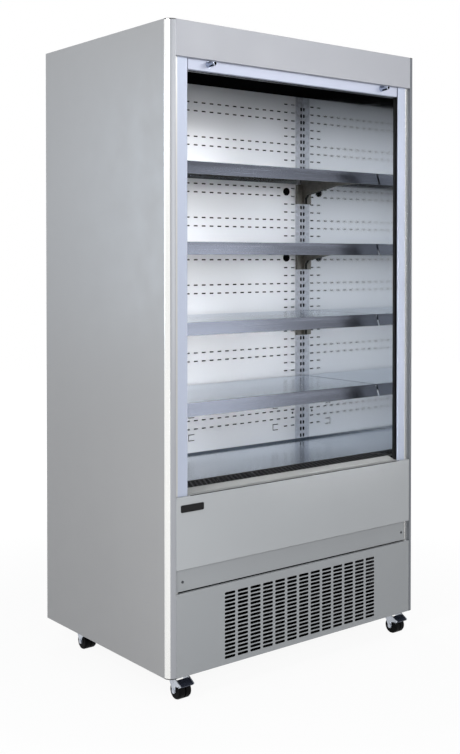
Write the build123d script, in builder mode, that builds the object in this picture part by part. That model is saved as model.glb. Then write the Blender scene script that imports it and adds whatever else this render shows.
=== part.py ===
from build123d import *
import os
from math import cos, radians, sin

# An open-fronted multideck display fridge on casters, with four hanging shelves over a deck,
# a roll-down night blind and its refrigeration set in the base.
#
# Lengths are in millimetres, z is up and the open front faces -y. The origin lies on the floor,
# under the middle of the box around the whole fridge. "Depth" is measured back from the front plane.

# Cabinet
cabinet_width = 1000
cabinet_depth = 690
cabinet_height = 1836
caster_height = 70
side_wall = 36.5  # foamed side panel
roof_wall = 40
back_wall = 50
tub_wall = 40  # foamed floor between the cold space and the machine space
tub_front_wall = 28
sheet = 1.2  # folded steel sheet
liner_sheet = 1.5
fit_gap = 0.3  # between pieces that only rest beside each other

# Front of the cabinet, from the bottom up
grille_panel_height = 235
shadow_gap = 4
strip_height = 63
riser_height = 204
fascia_height = 101

# Rounded aluminium profiles up the two front corners
profile_radius = 22.5
profile_nose = 1.5  # flat beside the round, as wide as the profile's return
profile_step = 10.5  # from the front plane back to the profile's flange
profile_wall = 1.8
flange_sheet = 1.5
cap_thickness = 2.5

# Posts and blind guides beside the mouth
post_width = 34.8
post_lip = 2
guide_slot_depth = 9
guide_slot_width = 21
guide_rail_depth = 11
guide_over_mouth = 8
bracket_plate = 2.7
bracket_plate_depth = 50
bracket_plate_height = 46

# Air grille in the bottom front panel
grille_columns = 13
grille_rows = 17
grille_slot_length = 39.4
grille_slot_width = 7.8
grille_pitch_x = 48
grille_pitch_z = 11.6
grille_centre_x = 3.5
grille_centre_height = 113.5

# Recessed screw strip, short of the right profile by this much
strip_short = 2.5
strip_flange = 19.5
screw_x = 447.8
screw_height = 26
screw_hole_radius = 2.3
screw_shank_radius = 2
screw_shank = 7
screw_head_radius = 4
screw_head = 2
screw_recess = 0.9
screw_recess_width = 1.1

# Blank badge plate
badge_length = 80
badge_height = 21
badge_thickness = 1.6
badge_x = -420
badge_drop = 33  # from the riser panel's top edge to the badge's middle
badge_corner = 4

# Cold space
deck_height = 507  # above the cabinet's underside
deck_start = 170
deck_flange = 30
deck_upstand = 7
deck_seat = 8
inner_depth = 512  # front plane to the face of the rear wall
ceiling_height = 1762
ceiling_front_height = 1724
ceiling_start = 100
ceiling_sheet = 1.5
honeycomb_start = 34
honeycomb_height = 22
honeycomb_cell = 12
honeycomb_web = 3
honeycomb_border = 8

# Ledge and return air grille at the front of the deck
ledge_width = 854
ledge_flat_end = 22.5
ledge_rise_end = 47.5
ledge_rise = 9
ledge_lip = 4.5
ledge_sheet = 2
ledge_seat_drop = 4.6
ledge_seat = 8
ledge_groove = 2
mesh_sheet = 1.5
mesh_cell = 13
mesh_web = 4
mesh_border = 7

# Slotted rear wall
rear_joint_height = 1465
rear_slot_length = 17
rear_slot_width = 4.5
rear_pitch_x = 33.9
rear_pitch_z = 28.8
rear_columns = 25
rear_pattern_shift = 8
rear_full_columns = 2
rear_upper_first_row = 1731.2
rear_upper_rows = 9
rear_lower_first_row = 1428.4
rear_lower_rows = 31
clip_size = (26, 23)
clip_cut = 3
clip_heights = (565, 643)
clip_xs = (-45, 332)
grommet_x = 382
grommet_radius = 14
grommet_height = 5
grommet_drop = 46.5  # from a shelf's top to the grommet's middle
rear_screw_x = 414
rear_screw_height = 610

# Slotted uprights in the rear corners
upright_width = 33.7
upright_depth = 22
upright_sheet = 1.5
upright_pitch = 23.9
upright_slot_length = 14
upright_slot_width = 8
upright_slot_inset = 27.2  # from the rear wall panel's edge to the slots
upright_slots = 51

# Shelves
shelf_count = 4
shelf_step = 10  # upright slots from shelf to shelf
top_shelf_height = 1462
shelf_front = 137
shelf_half_width = 458
shelf_back_gap = 6
shelf_flange = 18
rail_height = 38.5
rail_lean = 13
rail_sheet = 2.6
rail_lip = 1.5
rail_lip_depth = 7
rail_foot = 5

# Shelf brackets
bracket_sheet = 3
bracket_rear_height = 88
bracket_heel = 19
bracket_throat = 66
bracket_bend = (29, 56)
bracket_bend_radius = 10
bracket_waist = (173, 30)
bracket_tip_height = 26
bracket_front = 150
bracket_flange = 23
bracket_flange_sheet = 2
boss_depth = 10
boss_width = 33
hook_reach = 4
hook_height = 6
hook_drop = 7
hook_sheet = 3
hook_slot_drops = (30, 2)  # below the shelf's top, and how many slots lower the second hook is

# Night blind
roller_depth = 38
roller_rise = 27  # above the mouth's top edge
roller_radius = 16
roller_pin_radius = 4
roller_pin_clearance = 0.08
roller_wall = 1.5
roll_radius = 22
blind_sheet = 0.6
blind_half_width = 420
bar_half_width = 425
bar_depth = 13
bar_thickness = 12
bar_height = 38
bar_drop = 32  # below the mouth's top edge
bar_edge = 2.5
runner_reach = 21
runner_thickness = 5
runner_height = 30
knob_x = 352.6
knob_reach = 19  # in front of the front plane
knob_height = 20.5  # above the bar's lower edge
knob_base_radius = 9.8
knob_base = 2.5
knob_root_radius = 9.3
knob_tip_radius = 6
knob_hole_radius = 3
knob_hole_depth = 7
landing_gap = 2

# Refrigeration set
pan_sheet = 2
pan_wall = 40
condenser_half_width = 260
condenser_depth = 40
condenser_thickness = 44
condenser_bottom = 20
condenser_height = 212
condenser_fins = 36
condenser_tubes = 8
evaporator_half_width = 380
evaporator_depth = 532
evaporator_thickness = 70
evaporator_bottom = 560
evaporator_height = 300
evaporator_fins = 40
evaporator_tubes = 10
fin_sheet = 2
coil_tube_radius = 5
coil_plate = 1.5
shroud_depth = 40
condenser_fan_radius = 88
evaporator_fan_radius = 62
fan_tip_gap = 4
fan_plate_depth = 430
evaporator_fan_x = 215
evaporator_fan_height = 420
hub_radius = 24
hub_length = 22
motor_radius = 30
motor_length = 44
motor_edge = 4
motor_gap = 3
motor_arm_width = 8
motor_arm_sheet = 3
shaft_radius = 4
shaft_clearance = 0.06
blade_count = 5
blade_sheet = 2
blade_root = (24, 42)  # chord and pitch angle at the hub
blade_tip = (46, 24)
compressor_x = 150
compressor_depth = 400
compressor_radius = 82
compressor_height = 190
compressor_seam = 5
compressor_foot = 96
stub_radius = 6
stub_height = 14
stub_x = 34
line_radius = 5
line_bend = 22
suction_x = 300
pipe_hole_radius = 9
controller_width = 60
controller_depth = 60
controller_height = 80
controller_front = 20
controller_bottom = 120
louvre_columns = 6
louvre_rows = 12
louvre_length = 110
louvre_width = 7
louvre_pitch_x = 138
louvre_pitch_z = 18
cable_hole_radius = 11
cable_hole_x = -430
cable_hole_height = 40

# Casters
wheel_radius = 25
tread_width = 42
tread_groove = 4
tread_groove_depth = 4
tread_edge = 5
caster_x = 440
caster_front_depth = 51
caster_rear_depth = 560
wheel_offset = 22
plate_size = 58
plate_sheet = 3
plate_hole_radius = 3.3
plate_hole_pitch = 42
swivel_radius = 23
swivel_height = 5
swivel_gap = 0.4
stem_radius = 7
stem_clearance = 0.08
fork_gap = 1
fork_sheet = 2.5
fork_top = 8
fork_end_radius = 7
axle_radius = 4
axle_clearance = 0.06
axle_head_radius = 6.5
axle_head = 2.5
gusset_depth = 53  # from the swivel axis forward to the gusset's tip
gusset_height = 43  # tip of the gusset above the floor
pedal_width = 42
pedal_length = 30
pedal_sheet = 3
pedal_back_depth = 28  # forward of the swivel axis
pedal_back_height = 53.2
pedal_slope = 20
pedal_pin_reach = 19.5  # from the pedal's back edge along its slope
pedal_pin_radius = 2
pedal_pin_clearance = 0.06
pedal_lug_radius = 3.5
pedal_lug_width = 4

# Worked-out places
half_width = cabinet_width / 2
inner = half_width - side_wall
liner_face = inner - liner_sheet
front = -(cabinet_depth - knob_reach) / 2
back = front + cabinet_depth
base = caster_height
top = base + cabinet_height
grille_top = base + grille_panel_height
strip_bottom = grille_top + shadow_gap
strip_top = strip_bottom + strip_height
mouth_bottom = strip_top + riser_height
mouth_top = top - fascia_height
carcass_depth = profile_step + flange_sheet
return_x = half_width - profile_radius - profile_nose
panel_half = return_x - fit_gap
post_inner = inner - post_width
tub_top = strip_top + tub_wall
ledge_foot = mouth_bottom - 6
roof_bottom = top - roof_wall
deck_top = base + deck_height
guide_front = carcass_depth + fit_gap
guide_rear = carcass_depth + guide_slot_depth
guide_back = guide_rear + guide_rail_depth
roller_z = mouth_top + roller_rise
bar_bottom = mouth_top - bar_drop
bar_top = bar_bottom + bar_height
ledge_top = mouth_bottom + fit_gap + ledge_sheet
blind_travel = bar_bottom - ledge_top - landing_gap
shelf_pitch = upright_pitch * shelf_step
shelf_tops = [base + top_shelf_height - shelf_pitch * n for n in range(shelf_count)]
rear_edge = liner_face - fit_gap - upright_width
slot_x = rear_edge + upright_slot_inset
first_slot = shelf_tops[-1] - hook_slot_drops[0] - 8 * upright_pitch


def y_at(depth):
    """The y of a point that lies this far behind the front plane."""
    return front + depth


def save(builder, name):
    """Names the piece and writes it."""
    builder.part.label = name
    export_step(builder.part, f"parts/{name}.step")


def slab(xs, ys, zs, mode=Mode.ADD):
    """A square-edged block between two x, two y and two z values."""
    with BuildSketch(Plane.XY.offset(zs[0])) as plan:
        with Locations(((xs[0] + xs[1]) / 2, (ys[0] + ys[1]) / 2)):
            Rectangle(xs[1] - xs[0], ys[1] - ys[0])
    extrude(plan.sketch, amount=zs[1] - zs[0], mode=mode)


def bar_along_x(points, xs, mode=Mode.ADD):
    """A bar of one section between two x values; points are (y, z) pairs round the section."""
    with BuildSketch(Plane.YZ.offset(xs[0])) as section:
        Polygon(*points, align=None)
    extrude(section.sketch, amount=xs[1] - xs[0], mode=mode)


def rod_along_x(centre, radius, xs, mode=Mode.ADD):
    """A round rod between two x values; centre is (y, z)."""
    with BuildSketch(Plane.YZ.offset(xs[0])) as section:
        with Locations(centre):
            Circle(radius)
    extrude(section.sketch, amount=xs[1] - xs[0], mode=mode)


def rod_along_y(centre, radius, ys, mode=Mode.ADD):
    """A round rod between two y values; centre is (x, z)."""
    with BuildSketch(Plane.XZ.offset(-ys[1])) as section:
        with Locations(centre):
            Circle(radius)
    extrude(section.sketch, amount=ys[1] - ys[0], mode=mode)


def rod_along_z(centre, radius, zs, mode=Mode.ADD):
    """A round rod between two z values; centre is (x, y)."""
    with BuildSketch(Plane.XY.offset(zs[0])) as section:
        with Locations(centre):
            Circle(radius)
    extrude(section.sketch, amount=zs[1] - zs[0], mode=mode)


def turned_along_y(seat, points):
    """A round piece turned about y; points are (radius, y) from the seat's centre."""
    with BuildSketch(Plane(seat, x_dir=(1, 0, 0), z_dir=(0, 0, 1))) as section:
        Polygon(*points, align=None)
    revolve(section.sketch, axis=Axis(seat, (0, 1, 0)))


def pan(zs):
    """A folded front panel: a flat face on the front plane with its four edges turned back."""
    slab((-panel_half, panel_half), (front, y_at(profile_step)), zs)
    hollow = (y_at(sheet), y_at(profile_step))
    slab((-panel_half + sheet, panel_half - sheet), hollow, (zs[0] + sheet, zs[1] - sheet), Mode.SUBTRACT)
    fillet(faces().sort_by(Axis.Y)[0].edges(), 0.8 * sheet)


def profile_outline():
    """Plan of the right corner profile, drawn in x and y."""
    with BuildLine() as outline:
        Polyline(
            (return_x + profile_nose, front),
            (return_x, front),
            (return_x, y_at(profile_step)),
            (inner, y_at(profile_step)),
            (inner, y_at(profile_radius)),
            (half_width, y_at(profile_radius)),
        )
        CenterArc((return_x + profile_nose, y_at(profile_radius)), profile_radius, -90, 90)
    make_face(outline.edges())


def screw(x, depth, z):
    """A cross-head screw that faces forward, its head seated at this depth."""
    outline = [
        (0, -screw_head),
        (screw_head_radius - screw_head / 2, -screw_head),
        (screw_head_radius, -screw_head / 2),
        (screw_head_radius, 0),
        (screw_shank_radius, 0),
        (screw_shank_radius, screw_shank),
        (0, screw_shank),
    ]
    turned_along_y((x, y_at(depth), z), outline)
    face_y = y_at(depth - screw_head)
    for arm in ((screw_head_radius, screw_recess_width), (screw_recess_width, screw_head_radius)):
        xs = (x - arm[0] / 2, x + arm[0] / 2)
        zs = (z - arm[1] / 2, z + arm[1] / 2)
        slab(xs, (face_y, face_y + screw_recess), zs, Mode.SUBTRACT)


os.makedirs("parts", exist_ok=True)

# ---------------------------------------------------------------- insulated carcass

with BuildPart() as base_pan:
    slab((-inner, inner), (y_at(profile_step), back - sheet), (base, base + pan_wall))
    pan_hollow = (y_at(profile_step + pan_sheet), back - sheet - pan_sheet)
    pan_hollow_x = (-inner + pan_sheet, inner - pan_sheet)
    slab(pan_hollow_x, pan_hollow, (base + pan_sheet, base + pan_wall), Mode.SUBTRACT)
save(base_pan, "base_pan")

for side, xs in (("left", (-half_width, -inner)), ("right", (inner, half_width))):
    with BuildPart() as side_panel:
        slab(xs, (y_at(profile_radius), back), (base, top))
        outer = side_panel.faces().sort_by(Axis.X)[0 if side == "left" else -1]
        fillet(outer.edges().filter_by(Axis.Z).sort_by(Axis.Y)[-1], 2 * sheet)
    save(side_panel, f"side_panel_{side}")

with BuildPart() as back_panel:
    slab((-inner, inner), (back - back_wall, back), (strip_top, roof_bottom))
save(back_panel, "back_panel")

with BuildPart() as roof_panel:
    slab((-inner, inner), (y_at(carcass_depth), back), (roof_bottom, top))
save(roof_panel, "roof_panel")

suction_y = y_at(evaporator_depth + evaporator_thickness / 2)
with BuildPart() as insulated_tub:
    slab((-inner, inner), (y_at(carcass_depth), back - back_wall), (strip_top, tub_top))
    rod_along_z((suction_x, suction_y), pipe_hole_radius, (strip_top, tub_top), Mode.SUBTRACT)
    slab(
        (-liner_face + fit_gap, liner_face - fit_gap),
        (y_at(carcass_depth), y_at(carcass_depth + tub_front_wall)),
        (tub_top, ledge_foot),
    )
save(insulated_tub, "insulated_tub")

# ---------------------------------------------------------------- corner profiles and front panels

with BuildPart() as corner_profiles:
    with BuildSketch(Plane.XY.offset(base + cap_thickness)):
        profile_outline()
        offset(amount=-profile_wall, kind=Kind.INTERSECTION, mode=Mode.SUBTRACT)
    extrude(amount=cabinet_height - 2 * cap_thickness)
    mirror(about=Plane.YZ)
save(corner_profiles, "corner_profiles")

with BuildPart() as profile_end_caps:
    for cap_z in (base, top - cap_thickness):
        with BuildSketch(Plane.XY.offset(cap_z)):
            profile_outline()
        extrude(amount=cap_thickness)
    mirror(about=Plane.YZ)
save(profile_end_caps, "profile_end_caps")

with BuildPart() as fascia_panel:
    pan((mouth_top, top))
save(fascia_panel, "fascia_panel")

with BuildPart() as riser_panel:
    pan((strip_top, mouth_bottom))
save(riser_panel, "riser_panel")

with BuildPart() as badge_plate:
    with BuildSketch(Plane.XZ.offset(-front)):
        with Locations((badge_x, mouth_bottom - badge_drop)):
            RectangleRounded(badge_length, badge_height, badge_corner)
    extrude(amount=badge_thickness)
    fillet(badge_plate.faces().sort_by(Axis.Y)[0].edges(), badge_thickness / 3)
save(badge_plate, "badge_plate")

strip_z = strip_bottom + screw_height
with BuildPart() as screw_strip:
    strip_face = (y_at(profile_step - sheet), y_at(profile_step))
    slab((-panel_half, inner - strip_short), strip_face, (strip_bottom, strip_top))
    for edge_z in (strip_bottom, strip_top - sheet):
        flange_y = (y_at(profile_step), y_at(profile_step + strip_flange))
        slab((-inner + fit_gap, inner - strip_short), flange_y, (edge_z, edge_z + sheet))
    for x in (-screw_x, screw_x):
        rod_along_y((x, strip_z), screw_hole_radius, strip_face, Mode.SUBTRACT)
save(screw_strip, "screw_strip")

with BuildPart() as grille_panel:
    pan((base, grille_top))
    with BuildSketch(Plane.XZ.offset(-y_at(sheet))):
        with Locations((grille_centre_x, base + grille_centre_height)):
            with GridLocations(grille_pitch_x, grille_pitch_z, grille_columns, grille_rows):
                SlotOverall(grille_slot_length, grille_slot_width)
    extrude(amount=sheet, mode=Mode.SUBTRACT)
save(grille_panel, "grille_panel")

with BuildPart() as panel_screws:
    screw(-screw_x, profile_step - sheet, strip_z)
    screw(screw_x, profile_step - sheet, strip_z)
    screw(-rear_screw_x, inner_depth, base + rear_screw_height)
    screw(rear_screw_x, inner_depth, base + rear_screw_height)
save(panel_screws, "panel_screws")

with BuildPart() as rear_service_cover:
    with BuildSketch(Plane.XZ.offset(-back)):
        with Locations((0, (base + strip_top) / 2)):
            Rectangle(2 * inner, strip_top - base)
            with GridLocations(louvre_pitch_x, louvre_pitch_z, louvre_columns, louvre_rows):
                SlotOverall(louvre_length, louvre_width, mode=Mode.SUBTRACT)
        with Locations((cable_hole_x, base + cable_hole_height)):
            Circle(cable_hole_radius, mode=Mode.SUBTRACT)
    extrude(amount=sheet)
save(rear_service_cover, "rear_service_cover")

# ---------------------------------------------------------------- mouth: posts, guides, ledge and grille

with BuildPart() as front_posts:
    post_z = (ledge_foot, mouth_top + guide_over_mouth)
    slab((post_inner, inner), (y_at(profile_step), y_at(carcass_depth)), post_z)
    post_lip_y = (y_at(carcass_depth), y_at(carcass_depth + post_lip))
    slab((post_inner, post_inner + flange_sheet), post_lip_y, post_z)
    rounded = front_posts.edges().filter_by(Axis.Z).group_by(Axis.X)[0].sort_by(Axis.Y)[0]
    fillet(rounded, 0.9 * flange_sheet)
    mirror(about=Plane.YZ)
save(front_posts, "front_posts")

guide_outer = liner_face - fit_gap
with BuildPart() as blind_guides:
    guide_z = (ledge_foot, mouth_top + guide_over_mouth)
    slab((post_inner, guide_outer), (y_at(guide_rear), y_at(guide_back)), guide_z)
    slab((post_inner + guide_slot_width, guide_outer), (y_at(guide_front), y_at(guide_rear)), guide_z)
    plate_z = (guide_z[1], guide_z[1] + bracket_plate_height)
    plate_y = (y_at(guide_front), y_at(guide_front + bracket_plate_depth))
    slab((guide_outer - bracket_plate, guide_outer), plate_y, plate_z)
    rod_along_x(
        (y_at(roller_depth), roller_z),
        roller_pin_radius + roller_pin_clearance,
        (guide_outer - bracket_plate, guide_outer),
        Mode.SUBTRACT,
    )
    mirror(about=Plane.YZ)
save(blind_guides, "blind_guides")

flat_z = ledge_top
rise_z = flat_z + ledge_rise
ledge_section = [
    (0.5 * sheet, mouth_bottom + fit_gap),
    (0.5 * sheet, flat_z),
    (ledge_flat_end, flat_z),
    (ledge_flat_end, flat_z - ledge_sheet / 2),
    (ledge_flat_end + ledge_groove, flat_z - ledge_sheet / 2),
    (ledge_flat_end + ledge_groove, flat_z + ledge_sheet / 4),
    (ledge_rise_end, rise_z),
    (ledge_rise_end + ledge_lip, rise_z),
    (ledge_rise_end + ledge_lip, rise_z - ledge_seat_drop),
    (ledge_rise_end + ledge_lip + ledge_seat, rise_z - ledge_seat_drop),
    (ledge_rise_end + ledge_lip + ledge_seat, rise_z - ledge_seat_drop - ledge_sheet),
    (ledge_rise_end + ledge_sheet / 2, rise_z - ledge_seat_drop - ledge_sheet),
    (ledge_rise_end + ledge_sheet / 2, rise_z - ledge_sheet),
    (ledge_rise_end, rise_z - ledge_sheet),
    (ledge_flat_end + 3 * ledge_sheet, flat_z - ledge_sheet / 2),
    (ledge_flat_end + 3 * ledge_sheet, ledge_foot),
    (ledge_flat_end + 2 * ledge_sheet, ledge_foot),
    (ledge_flat_end + 2 * ledge_sheet, mouth_bottom + fit_gap),
]
with BuildPart() as front_ledge:
    bar_along_x([(y_at(d), z) for d, z in ledge_section], (-ledge_width / 2, ledge_width / 2))
save(front_ledge, "front_ledge")


def wall_plane(depth, z):
    """An upright plane that faces forward at this depth, with its middle at this height."""
    return Plane((0, y_at(depth), z), x_dir=(1, 0, 0), z_dir=(0, -1, 0))


def punched_sheet(plane, size, holes, thickness):
    """A flat sheet centred on the plane, with these outlines punched out of it."""
    corners = [(-size[0] / 2, -size[1] / 2), (size[0] / 2, -size[1] / 2)]
    outline = Wire.make_polygon(corners + [(-x, -y) for x, y in corners], close=True)
    extrude(plane.location * Face(outline, holes), amount=thickness, clean=False)


def hex_holes(size, cell, web, border):
    """Outlines of hexagonal holes that fill a sheet of this size, centred."""
    pitch = cell + web
    apothem_rows = pitch * cos(radians(30))
    columns = int((size[0] - 2 * border) // pitch)
    rows = int((size[1] - 2 * border - cell) // apothem_rows) + 1
    spots = []
    for row in range(rows):
        shift = pitch / 2 if row % 2 else 0
        for column in range(columns - row % 2):
            x = (column - (columns - 1) / 2) * pitch + shift
            y = (row - (rows - 1) / 2) * apothem_rows
            spots.append((x, y))
    hole = RegularPolygon(cell / 2, 6, major_radius=False, rotation=30).wire()
    return [hole.moved(Location(spot)) for spot in spots]


seat_front = ledge_rise_end + ledge_lip
seat_z = rise_z - ledge_seat_drop
mesh_slope = (deck_top - mesh_sheet - seat_z - fit_gap) / (deck_start - fit_gap - seat_front - ledge_seat)
mesh_rear = (y_at(deck_start - fit_gap), deck_top - mesh_sheet)
mesh_front = (y_at(seat_front + fit_gap), mesh_rear[1] - mesh_slope * (deck_start - seat_front - 2 * fit_gap))
mesh_run = mesh_rear[0] - mesh_front[0]
mesh_fall = mesh_rear[1] - mesh_front[1]
mesh_size = (2 * (liner_face - fit_gap), (mesh_run**2 + mesh_fall**2) ** 0.5)
mesh_plane = Plane(
    origin=(0, (mesh_front[0] + mesh_rear[0]) / 2, (mesh_front[1] + mesh_rear[1]) / 2),
    x_dir=(1, 0, 0),
    z_dir=(0, -mesh_fall, mesh_run),
)
mesh_holes = hex_holes(mesh_size, mesh_cell, mesh_web, mesh_border)
with BuildPart() as return_air_grille:
    punched_sheet(mesh_plane, mesh_size, mesh_holes, mesh_sheet)
save(return_air_grille, "return_air_grille")

with BuildPart() as deck_tray:
    deck_x = (-liner_face + fit_gap, liner_face - fit_gap)
    deck_back = y_at(inner_depth - fit_gap)
    slab(deck_x, (y_at(deck_start), deck_back), (deck_top - sheet, deck_top))
    slab(deck_x, (y_at(deck_start), y_at(deck_start + sheet)), (deck_top - deck_flange, deck_top))
    slab(deck_x, (deck_back - sheet, deck_back), (deck_top, deck_top + deck_upstand))
    seat_top = mesh_rear[1] - fit_gap
    slab(deck_x, (y_at(deck_start - deck_seat), y_at(deck_start)), (seat_top - sheet, seat_top))
save(deck_tray, "deck_tray")

# ---------------------------------------------------------------- cold space: liners, rear wall, ceiling

with BuildPart() as side_liners:
    liner_y = (y_at(carcass_depth + post_lip + fit_gap), back - back_wall)
    slab((liner_face, inner), liner_y, (tub_top, roof_bottom))
    mirror(about=Plane.YZ)
save(side_liners, "side_liners")


def rear_slots(first_height, rows, paired, middle_z):
    """Slots of one rear wall panel. The outer columns hold every row, the rest only paired rows."""
    hole = Rectangle(rear_slot_length, rear_slot_width).wire()
    middle = (rear_columns - 1) / 2
    slots = []
    for row in range(rows):
        z = base + first_height - row * rear_pitch_z
        near = [shelf_z for shelf_z in shelf_tops if abs(z - shelf_z + grommet_drop) < 1.5 * grommet_radius]
        for column in range(rear_columns):
            x = rear_pattern_shift + (column - middle) * rear_pitch_x
            outer_column = abs(column - middle) > middle - rear_full_columns
            covered = near and abs(x - grommet_x) < rear_slot_length
            if (outer_column or row % 4 in paired) and not covered:
                slots.append(hole.moved(Location((x, z - middle_z))))
    return slots


def clip_holes(middle_z):
    """C-shaped cuts that leave a spring clip, open to the right."""
    x, z = clip_size[0] / 2, clip_size[1] / 2
    upper = [(x, z), (-x, z)]
    inner_upper = [(clip_cut - x, z - clip_cut), (x, z - clip_cut)]
    outline = upper + [(a, -b) for a, b in reversed(upper)]
    outline += [(a, -b) for a, b in reversed(inner_upper)] + inner_upper
    hole = Wire.make_polygon(outline, close=True)
    return [hole.moved(Location((a, base + b - middle_z))) for a in clip_xs for b in clip_heights]


rear_top = base + ceiling_height + ceiling_sheet
rear_joint = base + rear_joint_height
rear_bottom = tub_top + deck_flange
upper_middle = (rear_joint + rear_top) / 2
lower_middle = (rear_bottom + rear_joint - fit_gap) / 2
rear_width = 2 * (rear_edge - fit_gap)
upper_holes = rear_slots(rear_upper_first_row, rear_upper_rows, (1, 2), upper_middle)
lower_holes = rear_slots(rear_lower_first_row, rear_lower_rows, (0, 1), lower_middle)
lower_holes += clip_holes(lower_middle)
for x in (-rear_screw_x, rear_screw_x):
    screw_z = base + rear_screw_height - lower_middle
    lower_holes.append(Wire.make_circle(screw_hole_radius).moved(Location((x, screw_z))))

with BuildPart() as rear_panels:
    upper_size = (rear_width, rear_top - rear_joint)
    lower_size = (rear_width, rear_joint - fit_gap - rear_bottom)
    punched_sheet(wall_plane(inner_depth + sheet, upper_middle), upper_size, upper_holes, sheet)
    punched_sheet(wall_plane(inner_depth + sheet, lower_middle), lower_size, lower_holes, sheet)
save(rear_panels, "rear_panels")

with BuildPart() as cable_grommets:
    for shelf_z in shelf_tops[:2]:
        grommet_face = y_at(inner_depth - grommet_height)
        rod_along_y((grommet_x, shelf_z - grommet_drop), grommet_radius, (grommet_face, y_at(inner_depth)))
    fillet(cable_grommets.faces().group_by(Axis.Y)[0].edges(), grommet_height / 3)
save(cable_grommets, "cable_grommets")

with BuildPart() as shelf_uprights:
    upright_z = (tub_top, rear_top)
    upright_x = (rear_edge, rear_edge + upright_width)
    web = (y_at(inner_depth), y_at(inner_depth + upright_sheet))
    slab(upright_x, web, upright_z)
    for leg_x in (upright_x[0], upright_x[1] - upright_sheet):
        slab((leg_x, leg_x + upright_sheet), (web[0], web[0] + upright_depth), upright_z)
    with BuildSketch(Plane.XZ.offset(-web[1])):
        with Locations(*[(slot_x, first_slot + n * upright_pitch) for n in range(upright_slots)]):
            SlotOverall(upright_slot_length, upright_slot_width, rotation=90)
    extrude(amount=upright_sheet, mode=Mode.SUBTRACT)
    mirror(about=Plane.YZ)
save(shelf_uprights, "shelf_uprights")

with BuildPart() as canopy_ceiling:
    ceiling_section = [
        (y_at(inner_depth), base + ceiling_height),
        (y_at(inner_depth), base + ceiling_height + ceiling_sheet),
        (y_at(ceiling_start), base + ceiling_front_height + ceiling_sheet),
        (y_at(ceiling_start), base + ceiling_front_height),
    ]
    bar_along_x(ceiling_section, (-liner_face + fit_gap, liner_face - fit_gap))
save(canopy_ceiling, "canopy_ceiling")

honeycomb_size = (2 * (liner_face - fit_gap), ceiling_start - honeycomb_start)
honeycomb_z = base + ceiling_front_height + ceiling_sheet - honeycomb_height / 2
honeycomb_plane = Plane((0, y_at((ceiling_start + honeycomb_start) / 2), honeycomb_z))
honeycomb_holes = hex_holes(honeycomb_size, honeycomb_cell, honeycomb_web, honeycomb_border)
with BuildPart() as air_honeycomb:
    punched_sheet(honeycomb_plane, honeycomb_size, honeycomb_holes, honeycomb_height)
save(air_honeycomb, "air_honeycomb")

# ---------------------------------------------------------------- shelves

bracket_outer = liner_face - 2 * fit_gap
rear_flange_end = bracket_outer - boss_width - fit_gap
rear_flange_x = (-rear_flange_end, rear_flange_end)
for number, shelf_z in enumerate(shelf_tops, start=1):
    joggle_top = shelf_z - rail_lip
    shelf_x = (-shelf_half_width, shelf_half_width)
    deck_front = y_at(shelf_front + rail_sheet)
    deck_step = y_at(shelf_front + rail_lip_depth + fit_gap)
    deck_rear = y_at(inner_depth - shelf_back_gap)
    with BuildPart() as shelf_deck:
        slab(shelf_x, (deck_step, deck_rear), (shelf_z - sheet, shelf_z))
        slab(shelf_x, (deck_step, deck_step + sheet), (joggle_top - sheet, shelf_z))
        slab(shelf_x, (deck_front, deck_step + sheet), (joggle_top - sheet, joggle_top))
        slab(shelf_x, (deck_front, deck_front + sheet), (joggle_top - shelf_flange, joggle_top))
        slab(rear_flange_x, (deck_rear - sheet, deck_rear), (shelf_z - shelf_flange, shelf_z))
        fillet(shelf_deck.edges().filter_by(Axis.X).group_by(Axis.Z)[-1], 0.7 * sheet)
    save(shelf_deck, f"shelf_deck_{number}")

    with BuildPart() as price_rail:
        rail_section = [
            (shelf_front, shelf_z),
            (shelf_front + rail_lip_depth, shelf_z),
            (shelf_front + rail_lip_depth, joggle_top),
            (shelf_front + rail_sheet, joggle_top),
            (shelf_front - rail_lean + rail_sheet, shelf_z - rail_height + rail_lip),
            (shelf_front - rail_lean + rail_foot, shelf_z - rail_height + rail_lip),
            (shelf_front - rail_lean + rail_foot, shelf_z - rail_height),
            (shelf_front - rail_lean, shelf_z - rail_height),
        ]
        bar_along_x([(y_at(d), z) for d, z in rail_section], shelf_x)
    save(price_rail, f"price_rail_{number}")

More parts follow.
